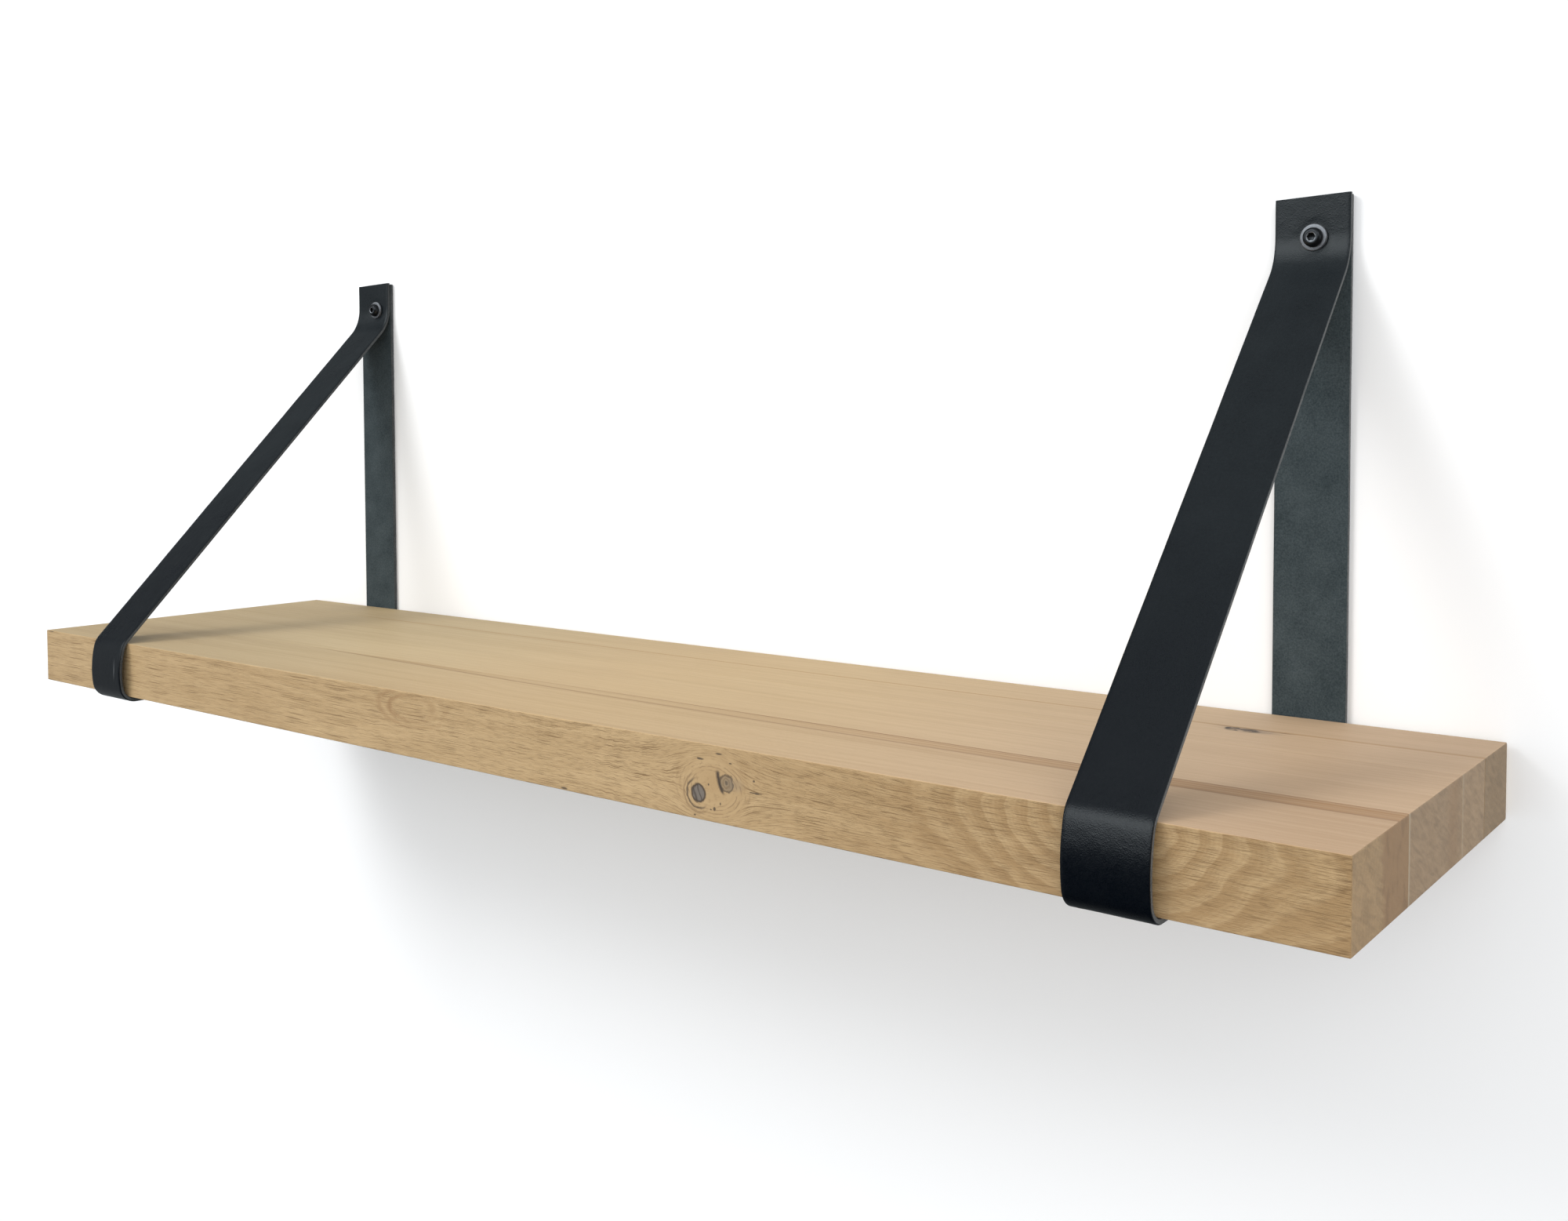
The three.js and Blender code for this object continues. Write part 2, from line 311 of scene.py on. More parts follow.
def oak(name):
    log = LOGS[name]
    is_front = name == "front"
    g = material_graph(f"oak_{name}")
    place = g.place()
    x, y, z = g.split(place)
    shift = {0: place, 1: (log.seed, log.seed, log.seed)}
    seeded = g.node("ShaderNodeVectorMath", shift, operation="ADD")
    facing = g.node("ShaderNodeTexCoord", {}, output="Normal")
    facing_x, _, facing_z = g.split(facing)
    end = g.step(g.absolute(facing_x), 0.55, 0.85)
    planed = g.step(g.absolute(facing_z), 0.45, 0.9)
    upright = 1.0 - planed

    # The grain parts round the knots, and is curly for a stretch beside them.
    wobble = g.uneven(g.scaled(seeded, (9.0, 36.0, 36.0)), detail=2.0)
    ripple = g.uneven(g.scaled(seeded, (170.0, 170.0, 170.0)), detail=2.0)
    sweep = g.uneven(g.scaled(seeded, (5.0, 0.0, 0.0)), detail=1.0)
    grain_z = z + wobble * 0.0026 + sweep * 0.006
    if is_front:
        swirl = distance(g, x, z, SWIRL_CENTRE, 1.35)
        squares = swirl * swirl + 0.00012
        push = 0.00024 / squares
        grain_z -= (z - SWIRL_CENTRE[1]) * g.math("MINIMUM", push, 0.9)
        curl = g.bell(x, 0.12, 0.06) + g.bell(x, -0.075, 0.035)
        grain_z += ripple * (0.0005 + curl * 0.0017)

    # The rings: distance from a pith line that drifts.
    drift = g.uneven(g.scaled(seeded, (2.6, 0.0, 0.0)), detail=1.0)
    lift = g.uneven(g.scaled(seeded, (3.4, 0.0, 0.0)), detail=1.0)
    across = y - log.pith[0] + drift * (2 * log.wander)
    above = z - log.pith[1] + lift * log.wander
    radius = g.length(across, above) + wobble * 0.007 + ripple * 0.0012
    if is_front:
        radius += g.step(swirl, 0.0, SWIRL_REACH, 0.016, 0.0)
        figure = distance(g, x, z, FIGURE_CENTRE, FIGURE_STRETCH)
        radius += g.step(figure, 0.0, 0.016, 0.01, 0.0)
    phase = g.math("FRACT", radius * (1 / log.ring))
    early = g.step(phase, 0.0, 0.25) * g.fall(phase, 0.4, 0.95)

    # Colour between pale and brown: streaks along the grain, rings, fibres and soft clouds, with
    # painted shade towards the ends.
    streak_place = g.join(x * 2.2, radius * 150.0, log.seed)
    streak = g.uneven(streak_place, detail=4.0, roughness=0.65)
    cloud = g.uneven(g.scaled(seeded, (8.0, 45.0, 45.0)), detail=3.0)
    fibre_place = g.stretched(x, y, grain_z, FIBRES)
    fibre = g.uneven(fibre_place, detail=3.0, roughness=0.7)
    rough_sawn = 1.0 - planed * 0.7
    straight = 1.0
    if is_front:
        straight = g.fall(push, 0.42, 0.86)
        fibre = fibre * straight
    thread_place = g.stretched(x, y, grain_z, THREADS)
    thread = g.uneven(thread_place, detail=3.0, roughness=0.6)
    thread = thread * g.step(x, 0.0, 0.25, 0.75, 0.3) * upright
    line_place = g.stretched(x, y, z, LINES)
    line = g.uneven(line_place, detail=3.0, roughness=0.6)
    share = log.brown + early * rough_sawn * 0.1 + streak * 0.55 + cloud * rough_sawn * 0.5
    share += fibre * rough_sawn + line * planed * 0.75 + thread
    # Painted shade: the top is painted browner towards its left end and towards its right end, where
    # the straps shade it.
    share += planed * (g.step(x, -0.5, -0.15, 0.16, -0.08) + g.step(x, 0.36, 0.5, 0.0, 0.14))
    if is_front:
        # Painted shade: the front is painted browner towards its right end, where less light falls on
        # it.
        along = g.step(x, 0.1, 0.34, 0.0, 0.3) + g.step(x, 0.4, 0.5, 0.0, 0.1)
        share += along * upright + nested_bands(g, x, z, wobble, ripple, upright)
    colour = g.mix(g.limited(share), PALE_OAK, BROWN_OAK)

    # Pores: thin dark dashes along the grain, hardly seen on the planed top.
    crowd = g.uneven(g.scaled(seeded, (11.0, 110.0, 110.0)), detail=3.0)
    crowding = crowd * g.step(x, 0.0, 0.2, 0.045, 0.09) + early * 0.02
    run = x * g.step(x, -0.3, 0.3, 0.6, 1.0)
    long_dashes = g.noise(g.stretched(run, y, grain_z, LONG_PORES), detail=1.0)
    long_pore = g.step(long_dashes + crowding, 0.61, 0.69)
    short_dashes = g.noise(g.stretched(run, y, grain_z, SHORT_PORES), detail=2.0)
    short_pore = g.step(short_dashes + crowding, 0.54, 0.64)
    seen = (1.0 - planed * 0.86) * straight
    long_pore = long_pore * seen
    short_pore = short_pore * seen
    colour = g.paint(colour, PORE_OAK, long_pore * g.step(x, 0.34, 0.44, 0.66, 0.42))
    colour = g.paint(colour, PORE_OAK, short_pore * g.step(x, -0.1, 0.2, 0.24, 0.42))

    if is_front:
        colour = joint_streaks(g, x, y, wobble, colour)
        colour = oval_figure(g, x, z, ripple, upright, colour)
        colour = front_knots(g, x, z, facing_z, colour)
    # The top is greener at the left, and turns cooler and pinker towards the right.
    green = g.fall(x, -0.3, 0.05) * planed
    colour = g.mix(green, colour, GREEN_LEFT, "MULTIPLY")
    rosy = g.step(x, 0.05, 0.5) * planed
    colour = g.mix(rosy, colour, ROSY_RIGHT, "MULTIPLY")
    if name in ("mid_back", "back"):
        seam = g.bell(y - back_low.y, 0.0, 0.0022) * g.step(x, -0.4, -0.32)
        colour = g.paint(colour, STREAK_OAK, seam * planed * 0.55)
    if name == "mid_back":
        colour = crack_knot(g, x, y, ripple, colour)
    colour = g.mix(end, colour, sawn_end(g, name, seeded, y, z, early))

    height = fibre * 0.5 - long_pore - short_pore * 0.6
    normal = g.bump(height, 0.00018, seen * 0.5)
    rough = 0.58 + long_pore * 0.15 + cloud * 0.12
    return g.surface(
        Base_Color=colour, Roughness=rough, IOR=1.5, Specular_IOR_Level=0.4, Normal=normal
    )


def nested_bands(g, x, z, wobble, ripple, upright):
    """Soft darker bands, one inside another, at the right of the front."""
    beside = g.absolute(x - BAND_CENTRE[0])
    beside = g.math("MAXIMUM", beside - BAND_CORE, 0.0)
    beside = beside / g.step(beside, 0.035, 0.1, 1.3, 1.75)
    below = z - BAND_CENTRE[1]
    drift = g.uneven(g.stretched(x, 0.0, z, (17.0, 0.0, 40.0)), detail=1.0)
    reach = g.length(beside, below) + wobble * 0.011 + ripple * 0.0026 + drift * 0.01
    phase = g.math("FRACT", reach * (1 / BAND_PITCH))
    band = g.step(phase, 0.0, 0.16) * g.fall(phase, 0.2, 0.92)
    fine = g.math("SINE", reach * (2 * math.pi * 5.2 / BAND_PITCH))
    shown = g.step(x, 0.275, 0.335) * upright
    return (band * 0.36 + fine * 0.05 - 0.09) * shown


def oval_figure(g, x, z, ripple, upright, colour):
    """A faint oval on the front, with two brown rims that are darkest at its left."""
    reach = distance(g, x, z, FIGURE_CENTRE, FIGURE_STRETCH) + ripple * 0.0035
    side = g.step(x - FIGURE_CENTRE[0], -0.022, 0.004, 1.0, 0.35)
    for radius, width, strength in FIGURE_RIMS:
        rim = g.bell(reach, radius, width) * side * upright
        colour = g.paint(colour, FIGURE_BROWN, rim * strength)
    return colour


def joint_streaks(g, x, y, wobble, colour):
    """On the top: a brown streak that leaves the first joint and drifts forward to the right."""
    ahead = front_high.y - y + wobble * 0.002
    line = g.math("MINIMUM", (x + 0.27) * 0.036, 0.011)
    line += g.math("MAXIMUM", x - 0.037, 0.0) * 0.007
    between = g.step(line - ahead, -0.001, 0.0025)
    rays = g.noise(g.stretched(x, y, 0.0, (3.0, 520.0, 0.0)), detail=2.0)
    filled = g.step(x, 0.0, 0.42, 0.0, 0.62) + g.bell(x, -0.13, 0.14) * 0.46
    fill = between * filled * g.step(rays, 0.28, 0.6, 0.5, 1.0)
    tail = g.fall(ahead, 0.01, 0.036) * g.step(x, 0.0, 0.3) * g.step(rays, 0.52, 0.62)
    streak = g.math("MINIMUM", fill + tail * 0.4, 0.85)
    colour = g.mix(streak, colour, STREAK_OAK)
    edge = g.bell(ahead - line, 0.0, 0.0019) * g.step(x, -0.28, -0.2) * 0.55
    joint = g.bell(ahead, 0.0, 0.0019) * g.step(x, -0.08, 0.08, 0.1, 0.75)
    return g.mix(g.math("MAXIMUM", edge, joint), colour, STREAK_LINE)


def front_knots(g, x, z, facing_z, colour):
    """Two small knots low on the front, the marks round them, and fibres torn at the right end."""
    on_front = g.fall(g.absolute(facing_z), 0.3, 0.6)
    shake = g.uneven(g.join(x, 0.0, z), 300.0, detail=3.0)
    tremble = shake * 0.002
    near = distance(g, x, z, SWIRL_CENTRE, 1.5)
    colour = g.paint(colour, BROWN_OAK, g.fall(near, 0.004, 0.017) * 0.22)
    curly = g.noise(g.stretched(x, 0.0, z, (420.0, 0.0, 620.0)), detail=3.0, distortion=0.8)
    curly = g.step(curly, 0.56, 0.68) * g.fall(near, 0.01, 0.02) * on_front
    colour = g.paint(colour, PORE_OAK, curly * 0.22)
    rings = g.step(g.math("SINE", (near + tremble * 0.5) * 3600.0), 0.3, 1.0)
    ringed = rings * g.step(near, 0.007, 0.01) * g.fall(near, 0.013, 0.019)
    broken = g.step(g.noise(g.join(x, 0.0, z), 190.0, detail=2.0), 0.42, 0.6, 0.1, 1.0)
    colour = g.paint(colour, KNOT_RING, ringed * on_front * broken * 0.5)

    # The first: grey with two dark slashes in a dark ring, and a curved groove at its left.
    dx = x - FIRST_KNOT[0]
    dz = z - FIRST_KNOT[1]
    far = distance(g, x, z, FIRST_KNOT) + tremble
    left_side = g.fall(dx + dz * 0.5, -0.003, 0.004)
    groove = g.bell(far, 0.0076, 0.001) * left_side
    colour = g.paint(colour, KNOT_CORE, groove * 0.8)
    outer = g.bell(far, 0.0098, 0.001) * left_side
    colour = g.paint(colour, KNOT_RING, outer * 0.55)
    inside = g.fall(far, FIRST_KNOT_RADIUS - 0.0006, FIRST_KNOT_RADIUS)
    colour = g.paint(colour, KNOT_GREY, inside * 0.92)
    lean = dx + dz * 0.42 + tremble
    for offset, width, strength in FIRST_KNOT_SLASHES:
        colour = g.paint(colour, KNOT_CORE, inside * g.bell(lean, offset, width) * strength)
    colour = g.paint(colour, KNOT_CORE, g.bell(far, FIRST_KNOT_RADIUS, 0.0011) * 0.95)

    # The second: a paler eye with a dark curved crack at its left.
    dx = x - SECOND_KNOT[0]
    dz = z - SECOND_KNOT[1]
    far = distance(g, x, z, SECOND_KNOT) + shake * 0.0034
    inside = g.fall(far, SECOND_KNOT_RADIUS - 0.0012, SECOND_KNOT_RADIUS + 0.0004)
    colour = g.paint(colour, KNOT_EYE, inside * 0.7)
    colour = g.paint(colour, KNOT_CORE, g.bell(far, SECOND_KNOT_RADIUS, 0.001) * 0.75)
    colour = g.paint(colour, KNOT_RING, g.bell(far, 0.0022, 0.0008) * 0.6)
    colour = g.paint(colour, KNOT_CORE, g.fall(far, 0.0004, 0.0012) * 0.6)
    beside = (SECOND_KNOT[0] + 0.0055, SECOND_KNOT[1])
    smudge = g.fall(distance(g, x, z, beside, 1.6), 0.001, 0.005)
    colour = g.paint(colour, KNOT_GREY, smudge * 0.25)
    rise = dz + 0.0016
    crack = dx + 0.005 + dz * 0.42 - rise * rise * 30.0 + shake * 0.0012
    crack = g.bell(crack, 0.0, 0.0019) * g.fall(g.absolute(dz), 0.0042, 0.0066)
    colour = g.paint(colour, KNOT_CORE, crack * 0.95)

    for mark_x, height, half_length, half_height in MARKS:
        spot = (mark_x, BOARD_BOTTOM_Z + height)
        far = distance(g, x, z, spot, half_length / half_height) + shake * 0.0008
        mark = g.fall(far, 0.4 * half_height, half_height) * on_front
        colour = g.paint(colour, KNOT_CORE, mark * 0.8)

    torn = g.noise(g.stretched(x, 0.0, z, (60.0, 0.0, 950.0)), detail=2.0)
    torn = g.step(torn, 0.5, 0.6) * g.step(x, *TORN_X) * on_front
    return g.paint(colour, PORE_OAK, torn * 0.62)


def crack_knot(g, x, y, ripple, colour):
    """A small grey knot on the top, cut through by the joint behind it."""
    wander = ripple * 0.004
    stain = g.fall(distance(g, x, y, CRACK_STAIN, 3.0) + wander, 0.001, 0.007)
    colour = g.paint(colour, CRACK_BROWN, stain * 0.6)
    line = g.bell(y + wander, CRACK_LINE_Y, 0.0013)
    crack = line * g.fall(g.absolute(x - CRACK_STAIN[0]), 0.014, 0.026)
    colour = g.paint(colour, KNOT_RING, crack * 0.9)
    strokes = g.noise(g.stretched(x, y, 0.0, (150.0, 380.0, 0.0)), detail=3.0, distortion=0.5)
    strokes = g.step(strokes, 0.44, 0.53)
    heart = g.fall(distance(g, x, y, CRACK_HEART, 1.8) + wander, 0.0034, 0.0062)
    core = g.fall(distance(g, x, y, CRACK_CORE, 0.8) + wander, 0.0014, 0.0032)
    dark = g.math("MAXIMUM", heart * strokes * 0.8, core * 0.92)
    return g.mix(dark, colour, KNOT_CORE)


def sawn_end(g, name, seeded, y, z, early):
    """The sawn end grain, mottled where it has drunk in more oil."""
    log = LOGS[name]
    # Saw strokes run down towards the back.
    stroke_along = y * 0.9 - z * 0.45
    stroke_across = y * 0.45 + z * 0.9
    stroke = g.join(log.seed, stroke_along * 70.0, stroke_across * 330.0)
    mottle = g.noise(stroke, detail=4.0, roughness=0.65, distortion=0.6)
    blotch = mottle - 0.5
    nap = g.uneven(g.scaled(seeded, (10.0, 700.0, 500.0)), detail=3.0)
    share = 0.3 + blotch * 2.6 + nap * 0.9 + early * 0.1
    colour = g.mix(g.limited(share), log.end, tuple(0.7 * c for c in log.end))
    if name == "front":
        slant = y + (z - BOARD_BOTTOM_Z) * 0.1 + blotch * 0.014
        heart = g.step(slant, *HEART_EDGE_Y)
        colour = g.paint(colour, END_HEART, heart * 0.78)
        bark = g.step(g.noise(g.scaled(seeded, (10.0, 170.0, 90.0)), detail=3.0), 0.5, 0.66)
        colour = g.paint(colour, tuple(0.7 * c for c in END_HEART), heart * bark * 0.45)
    if name == "mid_front":
        light_line = g.fall(y - front_high.y, 0.0006, 0.0026)
        colour = g.paint(colour, GLUE_LIGHT, light_line * 0.75)
        rust = g.bell(y, RUST_Y, 0.016)
        colour = g.paint(colour, END_HEART, rust * 0.4)
    if name == "mid_back":
        light_line = g.fall(y - GLUE_LINE_Y, 0.0004, 0.002)
        colour = g.paint(colour, GLUE_LIGHT, light_line * 0.3)
    return colour


# ---- Leather ----

# Painted shade: the left band's cut edges are painted darker than the right band's.
EDGE_BLACK = {
    "left": ((0.024, 0.028, 0.030), (0.085, 0.090, 0.092)),
    "right": ((0.060, 0.066, 0.070), (0.170, 0.172, 0.170)),
}
LEATHER_DARK = (0.0028, 0.0050, 0.0072)
LEATHER_LIGHT = (0.0084, 0.0122, 0.0150)
LEATHER_PAINTED_SHADE = (0.0006, 0.0016, 0.0040)
FLESH_DARK = (0.020, 0.031, 0.036)
FLESH_LIGHT = (0.070, 0.090, 0.098)
CREASE_HIGHLIGHT_GREY = (0.120, 0.128, 0.135)
CREASE_X = -0.3840
CREASE_Z = -0.2770


def leather_grain(side):
    g = material_graph(f"leather_grain_{side}")
    place = g.place()
    cloud = g.noise(place, 26.0, detail=4.0, roughness=0.6)
    fleck = g.noise(place, 700.0, detail=2.0)
    tint = cloud * 0.7 + fleck * 0.5
    colour = g.ramp(tint, [(0.4, LEATHER_DARK), (0.85, LEATHER_LIGHT)])
    # Painted shade: the lower part of the strap is painted darker than its top.
    x, _, z = g.split(place)
    painted_shade = g.fall(z, -0.26, -0.08)
    colour = g.paint(colour, LEATHER_PAINTED_SHADE, painted_shade * 0.75)
    if side == "left":
        # A short crease runs up the front of the left strap; its highlight is painted along it as a
        # light grey line.
        bow = (z - CREASE_Z) * (z - CREASE_Z) * 12.0
        beside = g.bell(x - CREASE_X + bow, 0.0, 0.0007)
        crease_highlight = beside * g.bell(z, CREASE_Z, 0.01)
        colour = g.paint(colour, CREASE_HIGHLIGHT_GREY, crease_highlight * 0.9)
    pebble = g.cells(place, 1700.0)
    crease = g.noise(place, 380.0, detail=3.0)
    height = pebble * 0.6 + crease * 0.7
    normal = g.bump(height, 0.00016, 0.6)
    rough = 0.17 + cloud * 0.14 + fleck * 0.14
    return g.surface(Base_Color=colour, Roughness=rough, IOR=1.48, Normal=normal)


def leather_flesh():
    g = material_graph("leather_flesh")
    place = g.place()
    cloud = g.noise(place, 45.0, detail=4.0, roughness=0.6)
    nap = g.noise(place, 1100.0, detail=3.0, roughness=0.7)
    tint = cloud * 0.4 + nap * 0.7
    colour = g.ramp(tint, [(0.35, FLESH_DARK), (0.78, FLESH_LIGHT)])
    normal = g.bump(nap, 0.0004, 0.6)
    return g.surface(Base_Color=colour, Roughness=0.9, Specular_IOR_Level=0.25, Normal=normal)


def leather_edge(side):
    g = material_graph(f"leather_edge_{side}")
    place = g.place()
    fibre = g.noise(place, 900.0, detail=3.0, roughness=0.7)
    cloud = g.noise(place, 60.0, detail=2.0)
    tint = cloud * 0.4 + fibre * 0.6
    # The left band takes the darker pair, which is painted shade.
    dark, light = EDGE_BLACK[side]
    colour = g.ramp(tint, [(0.32, dark), (0.72, light)])
    normal = g.bump(fibre, 0.0003, 0.6)
    return g.surface(Base_Color=colour, Roughness=0.8, Specular_IOR_Level=0.3, Normal=normal)


# ---- Metal and nylon ----

WASHER_GREY = (0.36, 0.365, 0.39)
SCREW_BLACK = (0.055, 0.058, 0.064)
RIM_WEAR_AND_HIGHLIGHT_GREY = (0.40, 0.41, 0.44)
METALLIC = 0.9
NYLON_DARK = (0.245, 0.250, 0.255)
NYLON_LIGHT = (0.305, 0.310, 0.318)


def black_steel(name, base, roughness):
    g = material_graph(name)
    place = g.place()
    patch = g.noise(place, 160.0, detail=3.0)
    grit = g.noise(place, 2600.0, detail=2.0)
    dark = tuple(0.75 * c for c in base)
    colour = g.ramp(patch, [(0.35, dark), (0.7, base)])
    rough = roughness + (patch - 0.5) * 0.2 + grit * 0.05
    normal = g.bump(grit, 0.00006, 0.5)
    return g.surface(Base_Color=colour, Roughness=rough, Metallic=METALLIC, Normal=normal)


def grey_nylon():
    g = material_graph("grey_nylon")
    place = g.place()
    flow = g.noise(g.scaled(place, (220.0, 60.0, 220.0)), detail=3.0)
    grit = g.noise(place, 1800.0, detail=2.0)
    colour = g.ramp(flow, [(0.35, NYLON_DARK), (0.7, NYLON_LIGHT)])
    normal = g.bump(flow * 0.6 + grit * 0.4, 0.0001, 0.4)
    rough = 0.42 + grit * 0.14
    return g.surface(Base_Color=colour, Roughness=rough, IOR=1.53, Normal=normal)


# ---- Meshes ----


def make_object(name, vertices, faces, materials, slots=None, smooth_below=35.0):
    """A mesh object, smooth where its faces meet at less than smooth_below degrees."""
    mesh = bpy.data.meshes.new(name)
    mesh.from_pydata([tuple(v) for v in vertices], [], faces)
    for material in materials:
        mesh.materials.append(material)
    if slots is not None:
        mesh.polygons.foreach_set("material_index", slots)
    mesh.polygons.foreach_set("use_smooth", [True] * len(mesh.polygons))
    mesh.validate()
    mesh.set_sharp_from_angle(angle=math.radians(smooth_below))
    made = bpy.data.objects.new(name, mesh)
    bpy.context.scene.collection.objects.link(made)
    return made


def tube(rings, closed_ends=True):
    """Faces that join rings of the same number of points, with an n-gon on each end."""
    count = len(rings[0])
    vertices = [point for ring in rings for point in ring]
    faces = []
    for i in range(len(rings) - 1):
        for j in range(count):
            k = (j + 1) % count
            low, high = i * count, (i + 1) * count
            faces.append((low + j, low + k, high + k, high + j))
    if closed_ends:
        faces.append(tuple(reversed(range(count))))
        faces.append(tuple(range((len(rings) - 1) * count, len(rings) * count)))
    return vertices, faces


def around(middle, y, radii):
    """A ring about the Y line at x = middle, z = 0, from its radius at evenly spaced angles."""
    ring = []
    for i, radius in enumerate(radii):
        angle = 2 * math.pi * i / len(radii)
        ring.append((middle + radius * math.cos(angle), y, radius * math.sin(angle)))
    return ring


def lathe(profile, segments, middle):
    """Rings of a (radius, y) profile turned round the Y line at x = middle, z = 0."""
    return [around(middle, y, [radius] * segments) for radius, y in profile]


def closed_lathe(name, profile, segments, middle, material):
    """A hollow turned piece whose (radius, y) profile runs all the way round."""
    rings = lathe(profile, segments, middle)
    rings.append(rings[0])
    vertices, faces = tube(rings, closed_ends=False)
    made = make_object(name, vertices, faces, [material])
    work = bmesh.new()
    work.from_mesh(made.data)
    bmesh.ops.remove_doubles(work, verts=work.verts, dist=1e-7)
    work.to_mesh(made.data)
    work.free()
    return face_outward(made)


def cut_away(made, cutter):
    """Cuts one object's volume out of another's mesh and removes the cutter."""
    modifier = made.modifiers.new("cut", "BOOLEAN")
    modifier.operation = "DIFFERENCE"
    modifier.solver = "EXACT"
    modifier.object = cutter
    bpy.context.view_layer.update()
    depsgraph = bpy.context.evaluated_depsgraph_get()
    mesh = bpy.data.meshes.new_from_object(made.evaluated_get(depsgraph))
    made.modifiers.clear()
    made.data = mesh
    bpy.data.objects.remove(cutter)


def face_outward(made):
    """Turns every face of a closed mesh outward."""
    work = bmesh.new()
    work.from_mesh(made.data)
    bmesh.ops.recalc_face_normals(work, faces=work.faces)
    if work.calc_volume(signed=True) < 0:
        bmesh.ops.reverse_faces(work, faces=work.faces)
    work.to_mesh(made.data)
    work.free()
    return made


# ---- Board ----

STATION = 0.004
ARRIS_STEPS = 4
SUPPORT = 0.0004
OUTER_ARRIS = 0.55 * MM
GLUE_ARRIS = 0.22 * MM
END_ARRIS = 0.6 * MM
END_INSET = 1.2 * MM
OUTER_WEAR = 0.25 * MM
GLUE_WEAR = 0.04 * MM
LEAST_ARRIS = 0.1 * MM


def worn(x, seed, base, wear):
    """The radius of an arris at x, uneven from sanding and handling."""
    fine = noise.noise(Vector((x * 45, seed, 0.0)))
    slow = noise.noise(Vector((x * 9, seed, 5.0)))
    return max(LEAST_ARRIS, base + wear * (0.6 * fine + 0.6 * slow))


def stave_section(low, high, radii):
    """(y, z) points of a rectangle with its own radius at each corner and support points beside it."""
    corners = [
        (low.y, low.z, 180.0, radii[0]),
        (high.y, low.z, 270.0, radii[1]),
        (high.y, high.z, 0.0, radii[2]),
        (low.y, high.z, 90.0, radii[3]),
    ]
    points = []
    for y, z, start, radius in corners:
        middle_y = y + (radius if start in (180.0, 90.0) else -radius)
        middle_z = z + (radius if start in (180.0, 270.0) else -radius)
        a, b = math.radians(start), math.radians(start + 90.0)
        arc = []
        for i in range(ARRIS_STEPS + 1):
            angle = a + (b - a) * i / ARRIS_STEPS
            arc.append((middle_y + radius * math.cos(angle), middle_z + radius * math.sin(angle)))
        points.append((arc[0][0] + SUPPORT * math.sin(a), arc[0][1] - SUPPORT * math.cos(a)))
        points += arc
        points.append((arc[-1][0] - SUPPORT * math.sin(b), arc[-1][1] + SUPPORT * math.cos(b)))
    return points


def build_stave(name, material):
    low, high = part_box(f"stave_{name}")
    index = STAVES.index(name)
    front_arris = OUTER_ARRIS if index == 0 else GLUE_ARRIS
    back_arris = OUTER_ARRIS if index == len(STAVES) - 1 else GLUE_ARRIS
    # Neighbours meet in the middle of the gap that the frame leaves between their solids.
    if index > 0:
        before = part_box(f"stave_{STAVES[index - 1]}")[1].y
        low.y = (before + low.y) / 2
    if index < len(STAVES) - 1:
        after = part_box(f"stave_{STAVES[index + 1]}")[0].y
        high.y = (high.y + after) / 2

    def section(x, inset):
        radii = []
        for corner, base in enumerate((front_arris, back_arris, back_arris, front_arris)):
            wear = OUTER_WEAR if base == OUTER_ARRIS else GLUE_WEAR
            radii.append(worn(x, 10 * index + corner, base, wear) + 0.5 * inset)
        inner_low = Vector((0.0, low.y + inset, low.z + inset))
        inner_high = Vector((0.0, high.y - inset, high.z - inset))
        return [(x, y, z) for y, z in stave_section(inner_low, inner_high, radii)]

    body = BOARD_HALF_LENGTH - END_ARRIS
    end = [(BOARD_HALF_LENGTH, END_INSET), (BOARD_HALF_LENGTH, END_ARRIS)]
    for i in range(1, ARRIS_STEPS):
        angle = 0.5 * math.pi * i / ARRIS_STEPS
        end.append((body + END_ARRIS * math.cos(angle), END_ARRIS * (1 - math.sin(angle))))
    stations = [(-x, inset) for x, inset in end]
    count = round(2 * body / STATION)
    for i in range(count + 1):
        stations.append((-body + 2 * body * i / count, 0.0))
    stations += reversed(end)
    rings = [section(x, inset) for x, inset in stations]
    vertices, faces = tube(rings)
    made = face_outward(make_object(f"{name}_oak_stave", vertices, faces, [material]))
    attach(made, "board")
    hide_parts(f"stave_{name}")


# ---- Straps ----

LEATHER = 2.5 * MM
HALF_WIDTH = 20 * MM
BEVEL = 0.55 * MM
SOFT_EDGE = 0.25 * MM
EDGE_SWELL = 0.05 * MM
GAP = 0.3 * MM
WALL_PLY_END = 21 * MM
OUTER_PLY_END = 22 * MM
BACK_BEND = 3.6 * MM
DIP_BEND = 60 * MM
UNDER_BEND = 12 * MM
BULGE_BEND = 72 * MM
ARRIS_BEND = 14 * MM
WALL_BEND = 30 * MM
DIP_TURN = 2.5
UNDER_TURN = 81.0
BULGE_TURN = 24.0
ARRIS_TURN = 30.0
WALL_TURN = 45.0
DIP_LENGTH = 28 * MM
LEVEL_LENGTH = 22 * MM
FRONT_STAND_OFF = 5 * MM
OUTER_PLY_Y = -(2 * LEATHER + GAP)
PATH_STEP = 1.6 * MM
ACROSS = 24
# How far the loops hang askew: sideways shift of the wall ply, the front and the outer end.
ASKEW = {
    "left": (-4.4 * MM, 5.5 * MM, -5.0 * MM),
    "right": (-1.2 * MM, 1.6 * MM, -1.2 * MM),
}
END_SLOPE = 0.03
FULL_SLOPE_Z = 20 * MM
PRESSED_FROM_Z = -20 * MM
SWAY = 0.18 * MM
LUMPS = [(0.10 * MM, 60), (0.05 * MM, 240)]  # height, and waves per metre
SEEDS = {"left": 40.0, "right": 80.0}
# The washer has pressed a shallow ring into the leather.
WASHER_RADIUS = 7.5 * MM
PRESSED_DEPTH = 0.22 * MM
PRESSED_WIDTH = 1.8 * MM
SCREW_HOLE = 3.3 * MM


